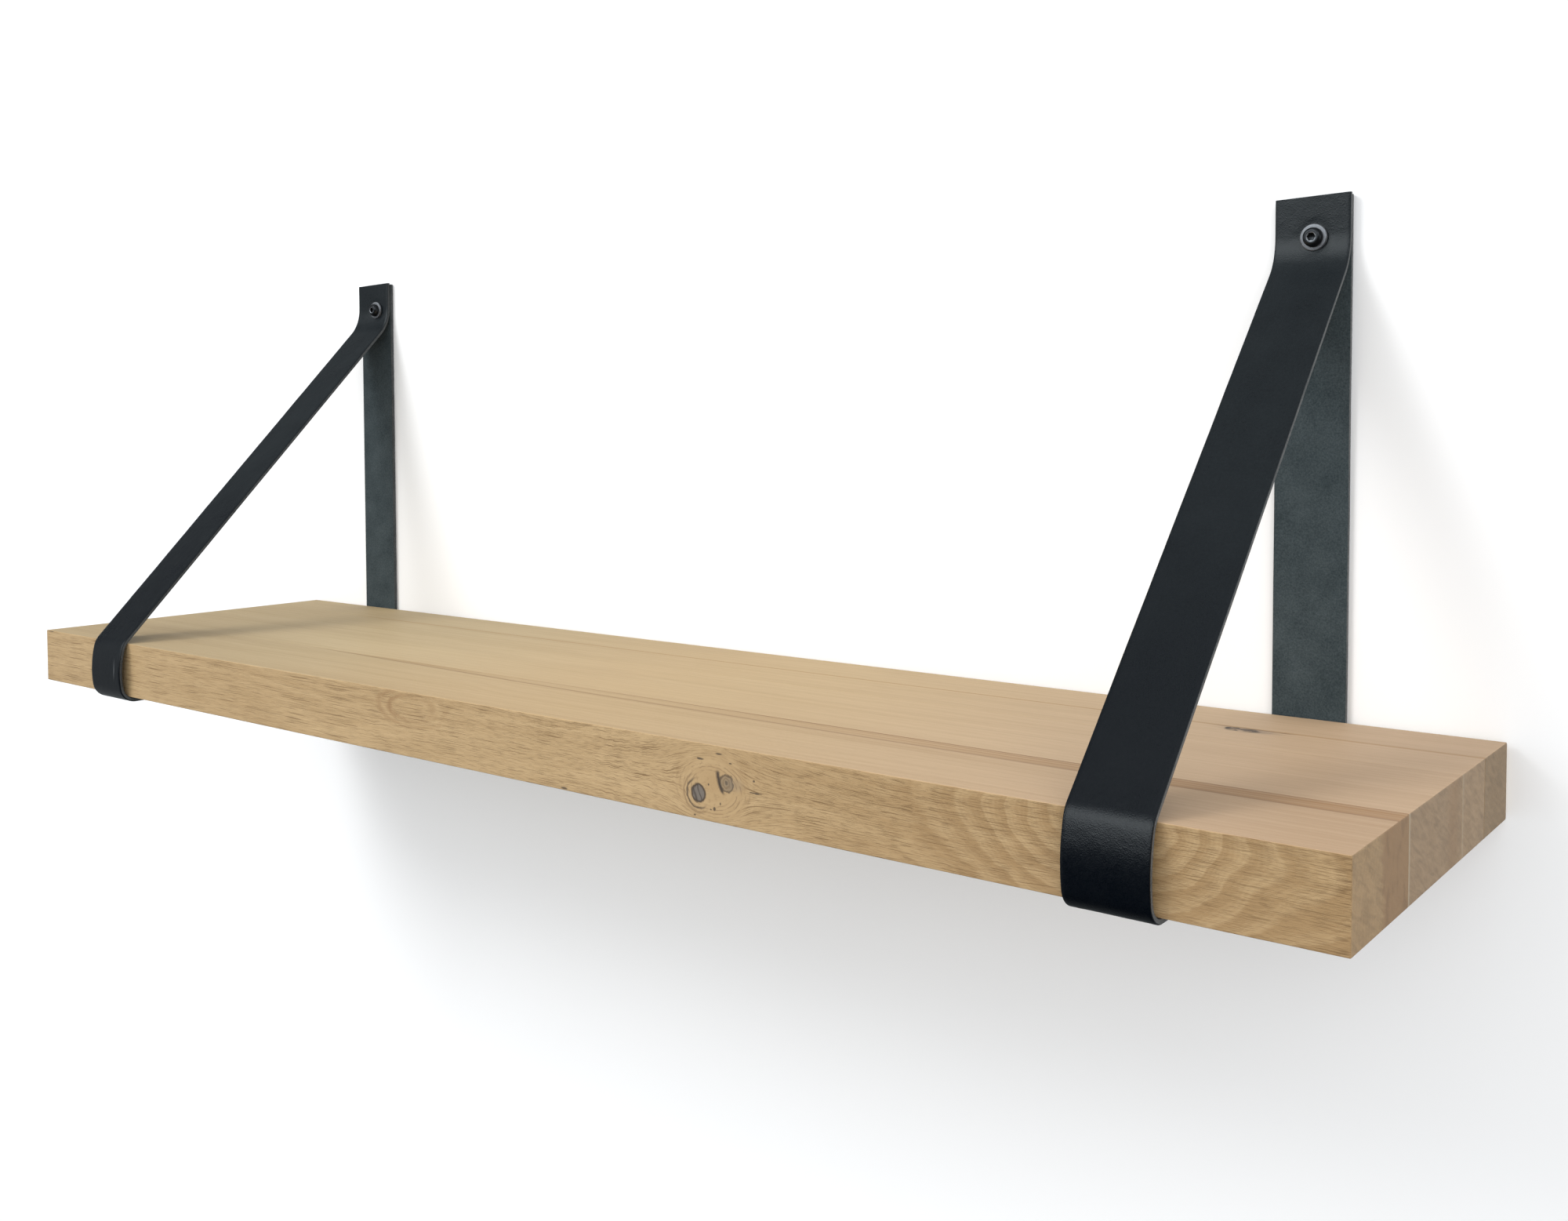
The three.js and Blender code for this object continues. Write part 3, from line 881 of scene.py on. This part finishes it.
class Walk:
    """Walks the middle of a band in the (y, z) plane. Turns to the walker's right are positive."""

    def __init__(self, y, z):
        self.place = Vector((y, z))
        self.heading = Vector((0.0, -1.0))
        self.stops = [(self.place.copy(), self.heading.copy())]

    def ahead(self, length):
        steps = max(1, round(length / PATH_STEP))
        for _ in range(steps):
            self.place += self.heading * (length / steps)
            self.stops.append((self.place.copy(), self.heading.copy()))

    def turn(self, outside_radius, degrees):
        side = 1.0 if degrees > 0 else -1.0
        radius = outside_radius - side * LEATHER / 2
        centre = self.place + Vector((self.heading.y, -self.heading.x)) * (side * radius)
        length = radius * math.radians(abs(degrees))
        steps = max(4, round(length / PATH_STEP))
        turning = Matrix.Rotation(-math.radians(degrees) / steps, 2)
        for _ in range(steps):
            self.place = centre + turning @ (self.place - centre)
            self.heading = turning @ self.heading
            self.stops.append((self.place.copy(), self.heading.copy()))


def band_path():
    half = LEATHER / 2
    under_z = BOARD_BOTTOM_Z - GAP - half
    walk = Walk(-half, WALL_PLY_END)
    walk.ahead(WALL_PLY_END - (under_z + BACK_BEND - half))
    walk.turn(BACK_BEND, 90.0)
    dip = math.radians(DIP_TURN)
    lean = math.radians(90.0 - UNDER_TURN)
    bulge_y = BOARD_FRONT_Y - FRONT_STAND_OFF - half
    under_bend_y = bulge_y + (UNDER_BEND - half) * math.cos(lean)
    under_bend_y += (BULGE_BEND - half) * (1 - math.cos(lean))
    dip_reach = 2 * DIP_BEND * math.sin(dip) + DIP_LENGTH * math.cos(dip)
    walk.ahead(walk.place.x - (under_bend_y + dip_reach + LEVEL_LENGTH))
    walk.turn(DIP_BEND, -DIP_TURN)
    walk.ahead(DIP_LENGTH)
    walk.turn(DIP_BEND, DIP_TURN)
    walk.ahead(LEVEL_LENGTH)
    walk.turn(UNDER_BEND, UNDER_TURN)
    walk.turn(BULGE_BEND, BULGE_TURN)
    walk.turn(ARRIS_BEND, ARRIS_TURN)
    bend_depth = (WALL_BEND + half) * (1 - math.cos(math.radians(WALL_TURN)))
    walk.ahead((OUTER_PLY_Y + half - bend_depth - walk.place.x) / walk.heading.x)
    walk.turn(WALL_BEND, -WALL_TURN)
    walk.ahead(OUTER_PLY_END - walk.place.y)
    return walk.stops


def band_section():
    """(across, out, part) points round the band: part 0 is grain, 1 cut edge and 2 flesh."""
    half = LEATHER / 2
    shares = [-1 + 2 * i / ACROSS for i in range(ACROSS + 1)]
    points = [((HALF_WIDTH - BEVEL) * share, half, 0) for share in shares]
    points += [
        (HALF_WIDTH - 0.3 * BEVEL, half - 0.3 * BEVEL, 0),
        (HALF_WIDTH, half - BEVEL, 1),
        (HALF_WIDTH + EDGE_SWELL, 0.0, 1),
        (HALF_WIDTH, SOFT_EDGE - half, 1),
    ]
    points += [((HALF_WIDTH - SOFT_EDGE) * share, -half, 2) for share in reversed(shares[1:])]
    points += [
        (SOFT_EDGE - HALF_WIDTH, -half, 1),
        (-HALF_WIDTH, SOFT_EDGE - half, 1),
        (-HALF_WIDTH - EDGE_SWELL, 0.0, 1),
        (-HALF_WIDTH, half - BEVEL, 0),
        (0.3 * BEVEL - HALF_WIDTH, half - 0.3 * BEVEL, 0),
    ]
    return points


def askew(side, y, is_outer):
    """The sideways shift of a loop at a depth y."""
    wall_ply, front, outer_end = ASKEW[side]
    share = max(0.0, min(1.0, y / BOARD_FRONT_Y))
    rest = outer_end if is_outer else wall_ply
    return rest + (front - rest) * share


def build_strap(side, materials):
    middle = measures(f"strap_{side}")[2]
    seed = SEEDS[side]
    section = band_section()
    stops = band_path()
    foremost = min(range(len(stops)), key=lambda i: stops[i][0].x)
    along = 0.0
    rings = []
    for i, (place, heading) in enumerate(stops):
        if i:
            along += (place - stops[i - 1][0]).length
        out = Vector((-heading.y, heading.x))
        shift = askew(side, place.x, i > foremost)
        shift += SWAY * noise.noise(Vector((along * 14, seed, 0.0)))
        end_share = min(1.0, max(0.0, place.y / FULL_SLOPE_Z))
        ring = []
        for across, level, _ in section:
            lift = 0.0
            if level > 0:
                for height, waves in LUMPS:
                    lift += height * noise.noise(Vector((along * waves, across * waves, seed)))
                if i > foremost and place.y > PRESSED_FROM_Z:
                    away = math.hypot(across + shift, place.y) - WASHER_RADIUS
                    lift -= PRESSED_DEPTH * math.exp(-((away / PRESSED_WIDTH) ** 2))
            x = middle + across + shift
            y = place.x + out.x * (level + lift)
            z = place.y + out.y * (level + lift) + END_SLOPE * across * end_share
            ring.append((x, y, z))
        rings.append(ring)
    vertices, faces = tube(rings)
    count = len(section)
    slots = [section[j][2] for _ in range(len(rings) - 1) for j in range(count)]
    slots += [1, 1]
    made = face_outward(make_object(f"{side}_leather_strap", vertices, faces, materials, slots))
    drill = lathe([(SCREW_HOLE, -0.03), (SCREW_HOLE, 0.01)], 32, middle)
    cutter = face_outward(make_object("drill", *tube(drill), [materials[1]]))
    cut_away(made, cutter)
    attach(made, "hangers")
    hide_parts(f"strap_{side}")


# ---- Washer, screw and plug ----


def build_washer(side, material):
    low, high, middle = measures(f"washer_{side}")
    outer = (high.x - low.x) / 2
    inner = 3.2 * MM
    soft = 0.18 * MM
    profile = [
        (inner, low.y + soft),
        (inner + soft, low.y + 0.02 * MM),
        (inner + 2 * soft, low.y),
        (outer - 0.55 * MM, low.y),
        (outer - 0.32 * MM, low.y + 0.05 * MM),
        (outer - 0.12 * MM, low.y + 0.2 * MM),
        (outer, low.y + 0.45 * MM),
        (outer, high.y - 0.1 * MM),
        (outer - 0.1 * MM, high.y),
        (inner + soft, high.y),
        (inner, high.y - soft),
    ]
    made = closed_lathe(f"{side}_washer_disc", profile, 96, middle, material)
    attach(made, "hangers")
    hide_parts(f"washer_{side}")


def hexagon(across_flats, y, segments, middle):
    """A ring on a hexagon about the Y line at x = middle, z = 0."""
    angles = [2 * math.pi * i / segments for i in range(segments)]
    radii = [0.5 * across_flats / math.cos(a % (math.pi / 3) - math.pi / 6) for a in angles]
    return around(middle, y, radii)


def build_screw(side, materials):
    low, high, middle = measures(f"screw_{side}")
    head_top = low.y
    head_height = 3.3 * MM
    seat = head_top + head_height
    head, flat = 5.25 * MM, 3.3 * MM
    shank, root = 2.9 * MM, 2.1 * MM
    pitch, thread_start, tip = 2.6 * MM, 2 * MM, 5 * MM
    crest_width, thread_step = 0.24, 0.2 * MM
    segments, dome_steps = 48, 14
    across_flats = 4 * MM
    socket_top, socket_floor = head_top + 0.2 * MM, head_top + 2.2 * MM
    rim = across_flats / math.sqrt(3) + 0.22 * MM
    rings = lathe([(0.2 * MM, socket_floor + 0.6 * MM)], segments, middle)
    rings.append(hexagon(across_flats, socket_floor, segments, middle))
    rings.append(hexagon(across_flats, socket_top, segments, middle))
    outline = [(rim, head_top + 0.02 * MM), (rim + 0.1 * MM, head_top), (flat - 0.2 * MM, head_top)]
    for i in range(dome_steps + 1):
        angle = 0.5 * math.pi * i / dome_steps
        radius = flat + (head - flat) * math.sin(angle)
        outline.append((radius, seat - head_height * math.cos(angle)))
    outline += [
        (head, seat - 0.06 * MM),
        (head - 0.15 * MM, seat),
        (shank + 0.25 * MM, seat),
        (shank, seat + 0.25 * MM),
        (shank, thread_start - 0.3 * MM),
    ]
    rings += lathe(outline, segments, middle)
    # The thread is one ridge that winds round the shank and fades out at the tip.
    end = high.y

    def thread_radius(y, turn):
        phase = ((y - thread_start) / pitch - turn) % 1.0
        crest = max(0.0, 1.0 - abs(phase - 0.5) / crest_width)
        start = min(1.0, (y - thread_start) / (0.5 * pitch))
        share = crest if start >= 1 else crest * start + (1 - start)
        return (root + (shank - root) * share) * max(0.12, min(1.0, (end - y) / tip))

    y = thread_start
    while y < end - 0.3 * MM:
        radii = [thread_radius(y, i / segments) for i in range(segments)]
        rings.append(around(middle, y, radii))
        y += thread_step
    rings += lathe([(0.15 * MM, end)], segments, middle)
    vertices, faces = tube(rings)
    # The rim of the socket is painted brighter: wear from the key, and a painted highlight.
    slots = []
    for face in faces:
        ys = [vertices[i][1] for i in face]
        radii = [math.hypot(vertices[i][0] - middle, vertices[i][2]) for i in face]
        on_rim = max(ys) < socket_top + 0.01 * MM and max(radii) < rim + 0.15 * MM
        slots.append(1 if on_rim else 0)
    made = make_object(f"{side}_button_screw", vertices, faces, materials, slots, 32.0)
    face_outward(made)
    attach(made, "hangers")
    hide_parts(f"screw_{side}")


def build_plug(side, material):
    low, high, middle = measures(f"wall_plug_{side}")
    bore, outer, collar = 3.2 * MM, 4.5 * MM, 5.5 * MM
    mouth, end = low.y, high.y
    collar_end = mouth + 1 * MM
    profile = [
        (bore, mouth + 0.3 * MM),
        (bore + 0.3 * MM, mouth),
        (collar - 0.2 * MM, mouth),
        (collar, mouth + 0.2 * MM),
        (collar, collar_end - 0.1 * MM),
        (collar - 0.1 * MM, collar_end),
        (outer, collar_end + 0.15 * MM),
    ]
    ribs = 6
    rib_start = collar_end + 3 * MM
    rib_pitch = (end - rib_start) / ribs
    for i in range(ribs):
        y = rib_start + i * rib_pitch
        profile += [
            (outer, y - 0.15 * MM),
            (outer - 0.5 * MM, y + 0.25 * MM),
            (outer - 0.45 * MM, y + 0.25 * rib_pitch),
            (outer, y + 0.7 * rib_pitch),
        ]
    profile += [(outer - 0.6 * MM, end), (bore, end)]
    made = closed_lathe(f"{side}_nylon_plug", profile, 48, middle, material)
    narrow, wide, slot_start = 0.6 * MM, 8 * MM, end - 23 * MM
    for half_x, half_z in ((narrow, wide), (wide, narrow)):
        rings = []
        for y in (slot_start, end + 2 * MM):
            ring = []
            for sign_x, sign_z in ((-1, -1), (1, -1), (1, 1), (-1, 1)):
                ring.append((middle + sign_x * half_x, y, sign_z * half_z))
            rings.append(ring)
        cutter = face_outward(make_object("slot_cutter", *tube(rings), [material]))
        cut_away(made, cutter)
    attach(made, "hangers")
    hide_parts(f"wall_plug_{side}")


for stave_name in STAVES:
    build_stave(stave_name, oak(stave_name))

washer_steel = black_steel("washer_steel", WASHER_GREY, 0.42)
screw_steel = black_steel("screw_steel", SCREW_BLACK, 0.28)
# The socket rims' steel: wear from the key, with a painted highlight.
rim_wear_and_highlight_steel = black_steel("rim_wear_and_highlight_steel", RIM_WEAR_AND_HIGHLIGHT_GREY, 0.42)
nylon = grey_nylon()
flesh = leather_flesh()
for side_name in SIDES:
    build_strap(side_name, [leather_grain(side_name), leather_edge(side_name), flesh])
    build_washer(side_name, washer_steel)
    build_screw(side_name, [screw_steel, rim_wear_and_highlight_steel])
    build_plug(side_name, nylon)

# ---- Stage: a white wall seen only from the room, and a pale floor ----

WALL_Y = 0.6 * MM
FLOOR_Z = -1.35


def stage_material(name, colour):
    g = material_graph(name)
    place = g.place()
    soft = g.noise(place, 3.0, detail=2.0)
    paint = g.ramp(soft, [(0.3, tuple(0.985 * c for c in colour)), (0.7, colour)])
    diffuse = g.node("ShaderNodeBsdfDiffuse", {"Color": paint})
    clear = g.node("ShaderNodeBsdfTransparent", {})
    behind = g.node("ShaderNodeNewGeometry", {}, output="Backfacing")
    shader = g.node("ShaderNodeMixShader", {0: behind, 1: diffuse, 2: clear})
    g.node("ShaderNodeOutputMaterial", {"Surface": shader})
    return g.owner


def sheet(name, corners, material):
    made = make_object(name, corners, [tuple(range(len(corners)))], [material])
    return made


wall = sheet(
    "stage_wall",
    [(-6, WALL_Y, FLOOR_Z), (6, WALL_Y, FLOOR_Z), (6, WALL_Y, 4), (-6, WALL_Y, 4)],
    stage_material("stage_wall_paint", (0.965, 0.983, 1.0)),
)
floor = sheet(
    "stage_floor",
    [(-6, -6, FLOOR_Z), (6, -6, FLOOR_Z), (6, 6, FLOOR_Z), (-6, 6, FLOOR_Z)],
    stage_material("stage_floor_paint", (0.85, 0.85, 0.85)),
)
for hidden in (wall, floor):
    hidden.visible_diffuse = False
    hidden.visible_glossy = False
    hidden.visible_shadow = False
wall.visible_transmission = False

# ---- Light ----
#
# A soft key from the upper left, a weaker fill from the right, and an even white room. What
# glossy surfaces mirror is kept apart: the bright wall behind the shelf and, in front of it, a
# dim room with a window at the upper left, a lamp at the right and a low glow at the left.

SUBJECT = Vector((0.0, -0.12, -0.2))
LIGHT_DISTANCE = 3.0
KEY_FROM = Vector((-0.4525, -0.6464, 0.6140)).normalized()
KEY_SIZE = 1.15
KEY_POWER = 38.0
FILL_FROM = Vector((0.74, -0.60, 0.30)).normalized()
FILL_SIZE = 2.6
FILL_POWER = 24.0
# Stops of (share of the way up, level)
ROOM_LEVELS = [(0.0, 0.52), (0.42, 0.60), (0.52, 1.14), (0.75, 1.07), (1.0, 1.00)]
MIRRORED_ROOM = [(0.0, 0.0), (0.48, 0.0), (0.54, 0.28), (0.62, 0.19), (0.90, 0.18), (0.97, 0.43)]
MIRRORED_WALL = [(0.0, 0.05), (0.25, 0.18), (0.45, 0.80), (0.52, 1.10), (0.60, 0.60), (0.68, 0.20)]
MIRRORED_TINT = (0.93, 1.01, 1.04)
WINDOW_FROM = Vector((-0.34, -0.84, 0.43)).normalized()
WINDOW_RIM = (0.84, 0.985)  # cosines of the angles from its middle
WINDOW_LEVEL = 2.1
LAMP_FROM = Vector((0.58, -0.49, 0.445)).normalized()
LAMP_RIM = (0.970, 0.995)
LAMP_LEVEL = 3.0


def soft_light(name, direction, size, power):
    data = bpy.data.lights.new(name, "AREA")
    data.shape = "SQUARE"
    data.size = size
    data.energy = power
    made = bpy.data.objects.new(name, data)
    made.location = SUBJECT + direction * LIGHT_DISTANCE
    made.rotation_mode = "QUATERNION"
    made.rotation_quaternion = direction.to_track_quat("Z", "Y")
    made.visible_glossy = False
    bpy.context.scene.collection.objects.link(made)


soft_light("key", KEY_FROM, KEY_SIZE, KEY_POWER)
soft_light("fill", FILL_FROM, FILL_SIZE, FILL_POWER)

room = Graph(bpy.data.worlds.new("studio"))
direction = room.node("ShaderNodeTexCoord", {}, output="Generated")
toward_right, toward_wall, upward = room.split(direction)
toward_left = toward_right * -1.0
height_share = upward * 0.5 + 0.5


def grey_ramp(levels):
    return room.ramp(height_share, [(stop, (level, level, level)) for stop, level in levels])


room_light = grey_ramp(ROOM_LEVELS)
mirrored = grey_ramp(MIRRORED_ROOM)
dim_left = room.step(toward_left, 0.45, 0.85, 1.0, 0.6)
mirrored = room.mix(1.0, mirrored, room.join(dim_left, dim_left, dim_left), "MULTIPLY")


def toward(place):
    """1 straight toward a place, falling off as the cosine of the angle from it."""
    alignment = {0: direction, 1: tuple(place)}
    return room.node("ShaderNodeVectorMath", alignment, output="Value", operation="DOT_PRODUCT")


window = room.step(toward(WINDOW_FROM), *WINDOW_RIM) * WINDOW_LEVEL
window = window * room.step(upward, 0.0, 0.24)
lamp = room.step(toward(LAMP_FROM), *LAMP_RIM) * LAMP_LEVEL
left_glow = room.step(toward_left, 0.6, 0.8) * room.step(upward, -0.05, 0.16, 0.24, 0.0)
window = window + lamp + left_glow
mirrored = room.mix(1.0, mirrored, room.join(window, window, window), "ADD")
mirrored = room.mix(room.step(toward_wall, -0.02, 0.02), mirrored, grey_ramp(MIRRORED_WALL))
mirrored = room.mix(1.0, mirrored, MIRRORED_TINT, "MULTIPLY")
is_glossy = room.node("ShaderNodeLightPath", {}, output="Is Glossy Ray")
seen = room.mix(is_glossy, room_light, mirrored)
background = room.node("ShaderNodeBackground", {0: seen})
room.node("ShaderNodeOutputWorld", {"Surface": background})
bpy.context.scene.world = room.owner
bpy.context.scene.view_settings.view_transform = "Standard"

# ---- Camera ----

CAMERA_PLACE = Vector((0.67064, -0.80718, -0.09664))
CAMERA_AZIMUTH = 38.019
CAMERA_ELEVATION = 2.414
CAMERA_ROLL = -0.177
CAMERA_LENS = 34.23
CAMERA_SHIFT_Y = -0.0806

azimuth = math.radians(CAMERA_AZIMUTH)
elevation = math.radians(CAMERA_ELEVATION)
level = math.cos(elevation)
forward = Vector((-math.sin(azimuth) * level, math.cos(azimuth) * level, -math.sin(elevation)))
right = Vector((math.cos(azimuth), math.sin(azimuth), 0.0))
up = right.cross(forward)
roll = Matrix.Rotation(math.radians(CAMERA_ROLL), 3, -forward)
right, up = roll @ right, roll @ up
camera_data = bpy.data.cameras.new("camera")
camera_data.lens = CAMERA_LENS
camera_data.sensor_width = 36.0
camera_data.shift_y = CAMERA_SHIFT_Y
camera_data.clip_start = 0.01
camera = bpy.data.objects.new("camera", camera_data)
turn_matrix = Matrix((right, up, -forward)).transposed()
camera.matrix_world = Matrix.Translation(CAMERA_PLACE) @ turn_matrix.to_4x4()
bpy.context.scene.collection.objects.link(camera)
bpy.context.scene.camera = camera
